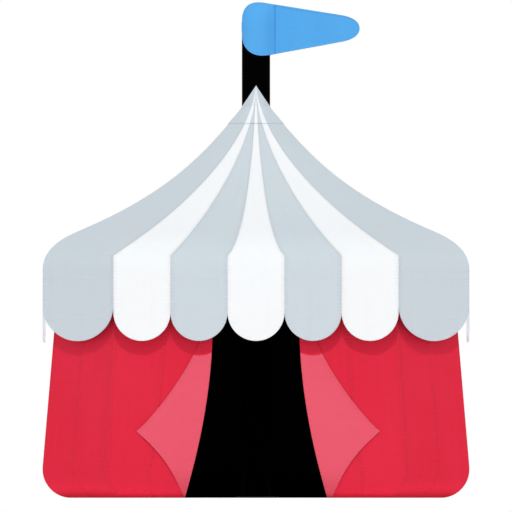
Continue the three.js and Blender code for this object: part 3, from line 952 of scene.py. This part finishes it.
def makeFlap(side, sign):
    heights = [flap["top"]]
    for low in (flap["heading"], flap["tipHeight"], flap["foot"]):
        high = heights[-1]
        count = math.ceil((high - low) / flap["rowStep"])
        heights += [mix(high, low, step / count) for step in range(1, count + 1)]
    columns, rows = flap["columns"], len(heights) - 1
    wider = flap["wider"] if sign > 0 else 0
    tip = flap["tip"] + wider
    bm = bmesh.new()
    startGrid(bm, columns, rows)
    headed = heights.index(flap["heading"])
    for face in bm.faces:
        face.material_index = 2 if max(cellOf(vert)[1] for vert in face.verts) <= headed else 0
    # from the doorway: four columns round the turned edge, the cloth, four on the free hem
    hem, hemmed = cloth["hem"], hemSteps()[::-1]
    folded = [(out * flap["roll"], lift) for out, lift in flap["rollSection"]]

    def across(column, height, step=0.02):  # distance from the middle, lift off the wall, hem, lean
        near, free = doorEdge(height), flapFree(height, wider)
        lean = math.hypot(1, (flapFree(height + step, wider) - flapFree(height - step, wider)) / (2 * step))
        kept = min(1.0, (free - near) / flap["narrow"])
        if column < 4:
            offset, lift = folded[column]
            return near + offset * kept, lift, 0.0, lean
        if column > columns - 4:
            offset, proud = hemmed[column - (columns - 3)]
            return free - offset * min(lean, 2.0) * kept, 1.0, proud, lean
        start, end = near + folded[-1][0] * kept, free - hem * min(lean, 2.0) * kept
        return mix(start, end, (column - 3) / (columns - 6)), 1.0, 0.0, lean

    def place(vert):
        column, row = cellOf(vert)
        if sign < 0:
            column = columns - column
        height = heights[row]
        height += headingRise(across(column, height)[0], height)
        down = downAt(height)
        near, free = doorEdge(height), flapFree(height, wider)
        x, lift, proud, lean = across(column, height)
        reach = math.hypot(tip - x, flap["tipHeight"] - height)
        angle = math.atan2(height - flap["tipHeight"], tip - x + 1e-6)
        fan = math.sin(flap["foldCount"] * angle + flap["foldPhase"] * sign)
        fan *= smooth(*flap["foldStart"], reach)
        loss = flap["foldLoss"] * smooth(*flap["foldFade"], reach)
        fan *= (1 - loss) * smooth(0, flap["foldFlat"], x - near)
        half, z, direction = wallAt(down)
        fromEdge = min(x - near, wallCorner(half, z) - x)
        out = max(wallFold(0, sign * x, down, fromEdge), flap["sink"]) + flap["clear"]
        out += (flap["gap"] + cloth["thickness"] + flap["fold"] * (1 + fan)) * lift + proud
        spot = Vector((sign * x, -(half + out * direction.x), max(z + out * direction.y, flap["clear"])))
        gap = min((free - x) / lean, x - near + hem)
        return spot, (x, down), gap, down

    layCloth(bm, place)
    red = finishes["red_canvas"]
    materials = [finishes["pink_lining"], red, red, red]
    piece = newPiece(f"flap_{side}", bm, materials, f"door_flap_{side}")
    widest = tip - doorEdge(flap["tipHeight"])
    length = downAt(flap["foot"]) - downAt(flap["top"])
    return finishCloth(piece, (widest, length))


makeFlap("left", -1)
makeFlap("right", 1)
print("flaps made")


# Flag: a sleeve over the mast's top, and the fly sewn to it
flag = {
    "hoist": -0.333,
    "seam": 0.46,
    "bend": 1.997,  # its edges turn to the rounded tip here
    "tip": 2.446,
    "cutHeight": 1.25,  # of the cloth before the edges were shaped
    "lap": 0.05,  # of the fly's cloth, taken up by the seam
    "sleeveGap": 0.008,
    "sleeveShut": 0.01,  # no hem where its faces come this near to its middle
    "sleeveSteps": 34,
    "closeSteps": 6,
    "rounding": 0.06,  # the rounded corners go on this far round the hoist
    "wave": 0.035,
    "waveLength": 1.15,
    "waveStart": 0.9,  # full depth this far from the seam
    "waveLean": 0.7,
    "flySteps": 24,
    "tipSteps": 14,
    "crowd": 2.3,  # they crowd together past this
    "rows": 18,
    "hemShare": 0.035,  # of the flag's height
    "rampShare": 0.005,
    "rise": 0.003,
    "flatTip": 0.3,  # no hem where the flag is lower than this
    "welt": 0.001,  # how proud the seam on the sleeve stands
    "thickness": 0.004,
}


def lineOf(parts, steps=120):  # a fine line through straight and Bezier parts
    line = []
    for part in parts:
        curved = len(part) == 4
        line += [bezier(part, step / steps) for step in range(steps + 1)] if curved else part
    return line


def flagEdges():  # heights of its top and bottom edge along it
    hoist, bend, tip = flag["hoist"], flag["bend"], flag["tip"]
    top = [
        [(hoist, 11.244), (hoist, 11.69), (-0.04, 11.719), (0.2, 11.68)],
        [(0.2, 11.68), (bend, 11.39)],
        [(bend, 11.39), (2.303, 11.344), (tip, 11.223), (tip, plan["mastTop"])],
    ]
    bottom = [
        [(hoist, 10.949), (hoist, 10.589), (-0.112, 10.365), (0.298, 10.44)],
        [(0.298, 10.44), (bend, 10.753)],
        [(bend, 10.753), (2.303, 10.805), (tip, 10.931), (tip, plan["mastTop"])],
    ]
    return [tabled(lineOf(parts), hoist, tip, 2000) for parts in (top, bottom)]


flagTop, flagBottom = flagEdges()


def flagRows():  # shares of the way down, with the hems of both edges
    hem, rows = flag["hemShare"], flag["rows"]
    shares = hemSteps(hem, flag["rampShare"], flag["rise"])
    middle = [(mix(hem, 1 - hem, step / rows), 0) for step in range(1, rows)]
    return shares + middle + [(1 - share, proud) for share, proud in reversed(shares)]


def flagCloth(name, bm, place, width, offset=-1):
    layCloth(bm, place)
    weld(bm)
    blue = finishes["blue_flag"]
    piece = newPiece(name, bm, [blue, blue], "flag")
    return finishCloth(piece, (width, flag["cutHeight"]), flag["thickness"], offset=offset)


def makeSleeve():
    radius = plan["mastRadius"] + flag["sleeveGap"]
    tangent = math.acos(-radius / flag["seam"])
    turnSteps, closeSteps = flag["sleeveSteps"], flag["closeSteps"]
    # half of its outline from above: round the mast, then straight to the seam
    angles = [tangent * step / turnSteps for step in range(turnSteps + 1)]
    section = [(-radius * math.cos(angle), radius * math.sin(angle)) for angle in angles]
    leave = section[-1]
    section += [(mix(leave[0], flag["seam"], step / closeSteps), mix(leave[1], 0, step / closeSteps))
                for step in range(1, closeSteps + 1)]
    count = len(section) - 1
    rows = flagRows()
    bm = bmesh.new()
    startGrid(bm, 2 * count, len(rows) - 1)

    def place(vert):
        column, row = cellOf(vert)
        share, proud = rows[row]
        x, depth = section[abs(column - count)]
        rounding = clamp((flag["hoist"] - x) / (flag["hoist"] + radius)) * flag["rounding"]
        high, low = flagTop(x) - rounding, flagBottom(x) + rounding
        z = mix(high, low, share)
        closing = clamp((z - plan["mastTop"]) / (high - plan["mastTop"]))
        depth = depth * math.sqrt(1 - closing ** 2)
        if depth > flag["sleeveShut"]:  # its faces meet at the seam and over the mast's top
            depth += proud
        y = -depth if column > count else depth
        gap = min(share, 1 - share) * (high - low)
        run = (column - count) * tangent * radius / turnSteps
        return Vector((x, y, z)), (run, high - z), gap, abs(run)

    around = 2 * (tangent * radius + math.hypot(leave[0] - flag["seam"], leave[1]))
    return flagCloth("flag_sleeve", bm, place, around)


def makeFly():
    hem, ramp = cloth["hem"], cloth["ramp"]
    start, bend, tip = flag["seam"], flag["bend"], flag["tip"]
    flySteps, tipSteps = flag["flySteps"], flag["tipSteps"]
    stops = [start - ramp, start + ramp, start + hem - ramp, start + hem]
    stops += [mix(start + hem, bend, step / flySteps) for step in range(1, flySteps + 1)]
    rounded = [(bend, 0), (flag["crowd"], 0), (tip, 0), (tip, 0)]
    stops += [bezier(rounded, step / tipSteps)[0] for step in range(1, tipSteps + 1)]
    rows = flagRows()
    bm = bmesh.new()
    startGrid(bm, len(stops) - 1, len(rows) - 1)

    def place(vert):
        column, row = cellOf(vert)
        share, proud = rows[row]
        x = stops[column]
        high, low = flagTop(x), flagBottom(x)
        z = mix(high, low, share)
        free = smooth(start, start + flag["waveStart"], x)
        lean = flag["waveLean"] * (z - plan["mastTop"])
        wave = math.sin(math.tau * (x - start) / flag["waveLength"] + lean)
        y = -flag["wave"] * free * wave - (proud if high - low > flag["flatTip"] else 0)
        if column in (1, 2):  # the welt over the seam
            y -= flag["welt"]
        gap = min(share, 1 - share) * (high - low)
        return Vector((x, y, z)), (x, high - z), gap, x

    return flagCloth("flag_fly", bm, place, tip - start + flag["lap"], offset=0)


# Mast and frame
metal = {"sides": 96, "rounding": 0.006, "roundingSteps": 2}


def makeMast():
    low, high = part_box("mast")
    bm = bmesh.new()
    bmesh.ops.create_cone(bm, cap_ends=True, segments=metal["sides"], radius1=plan["mastRadius"],
                          radius2=plan["mastRadius"], depth=high.z - low.z)
    bmesh.ops.translate(bm, vec=(0, 0, (high.z + low.z) / 2), verts=bm.verts)
    rims = [edge for edge in bm.edges if abs(edge.verts[0].co.z - edge.verts[1].co.z) < 1e-4]
    bmesh.ops.bevel(bm, geom=rims, affect="EDGES", offset=metal["rounding"],
                    segments=metal["roundingSteps"], profile=0.5, material=-1)
    return newPiece("mast_pole", bm, [mastPaint], "mast")


def makeFrame():
    for name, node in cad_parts.items():
        if name.startswith("post_") or name in ("eave_beam", "shoulder_beam", "crown_ring", "mast_foot"):
            node.data.materials.clear()
            node.data.materials.append(framePaint)
            rounding = node.modifiers.new("rounded_edges", "BEVEL")
            rounding.width = metal["rounding"]
            rounding.segments = metal["roundingSteps"]
            rounding.limit_method = "ANGLE"


makeMast()
makeSleeve()
makeFly()
makeFrame()
print("mast, flag and frame made")


# Stage: pale floor, camera and light
stage = {
    "lens": 1600.0,
    "sensor": 36.0,
    "frameWidth": 12.0,  # metres across the picture at focusDepth
    "aimHeight": 5.667,
    "cameraHeight": 0.06,
    "focusDepth": -3.5,
    "floorRadius": 60.0,
    "floorTone": 0.85,
    "floorGlow": 0.24,  # lightens the shadows on it
    "floorFade": (9.0, 40.0),  # fades to plain white between these distances
    "keyStrength": 0.345,  # brightness of a white surface facing it
    "keyElevation": 56.0,
    "keyAzimuth": 0.0,
    "keySoftness": 1.0,
    "horizon": 0.80,  # light of the sky from the sides and from above
    "zenith": 0.62,
}


def makeFloor():
    bm = bmesh.new()
    bmesh.ops.create_circle(bm, cap_ends=True, segments=96, radius=stage["floorRadius"])
    material, kit, shader = startMaterial("floor_paint", {
        "Roughness": 0.9, "Specular IOR Level": 0.1, "Emission Strength": 1.0})
    x, y, _ = kit.split(kit.point())
    fade = (x * x + y * y).root().remap(*stage["floorFade"])
    plug(kit, shader, {"Base Color": kit.blend(fade, neutral(stage["floorTone"]), neutral(0)),
                       "Emission Color": kit.blend(fade, neutral(stage["floorGlow"]), neutral(1))})
    addMesh("floor", bm, [material])


def makeCamera():
    data = bpy.data.cameras.new("camera")
    data.lens = stage["lens"]
    data.sensor_width = stage["sensor"]
    distance = stage["frameWidth"] * stage["lens"] / data.sensor_width
    data.clip_end = 2 * distance
    camera = addObject("camera", data)
    camera.location = (0, stage["focusDepth"] - distance, stage["cameraHeight"])
    aim = Vector((0, stage["focusDepth"], stage["aimHeight"])) - camera.location
    camera.rotation_mode = "QUATERNION"
    camera.rotation_quaternion = aim.to_track_quat("-Z", "Y")
    bpy.context.scene.camera = camera


def makeLight():
    world = bpy.data.worlds.new("studio")
    world.use_nodes = True
    bpy.context.scene.world = world
    tree = world.node_tree
    tree.nodes.clear()
    kit = Kit(tree)
    _, _, up = kit.split(kit.make("ShaderNodeTexCoord", None, None, "Generated"))
    color = kit.blend(up.remap(0.0, 1.0), neutral(stage["horizon"]), neutral(stage["zenith"]))
    soft = kit.make("ShaderNodeBackground", None, {"Color": color})
    plain = kit.make("ShaderNodeBackground", None, {"Color": neutral(1)})
    seen = kit.make("ShaderNodeLightPath", None, None, "Is Camera Ray")
    kit.make("ShaderNodeOutputWorld", None, {"Surface": kit.make("ShaderNodeMixShader", None, {
        0: seen, 1: soft, 2: plain})})
    key = bpy.data.lights.new("key", "SUN")
    key.energy = stage["keyStrength"] * math.pi
    key.angle = math.radians(stage["keySoftness"])
    lamp = addObject("key", key)
    lamp.rotation_euler = (math.radians(90 - stage["keyElevation"]), 0, math.radians(stage["keyAzimuth"]))


makeFloor()
makeCamera()
makeLight()
bpy.context.scene.view_settings.view_transform = "Standard"
print("stage set")
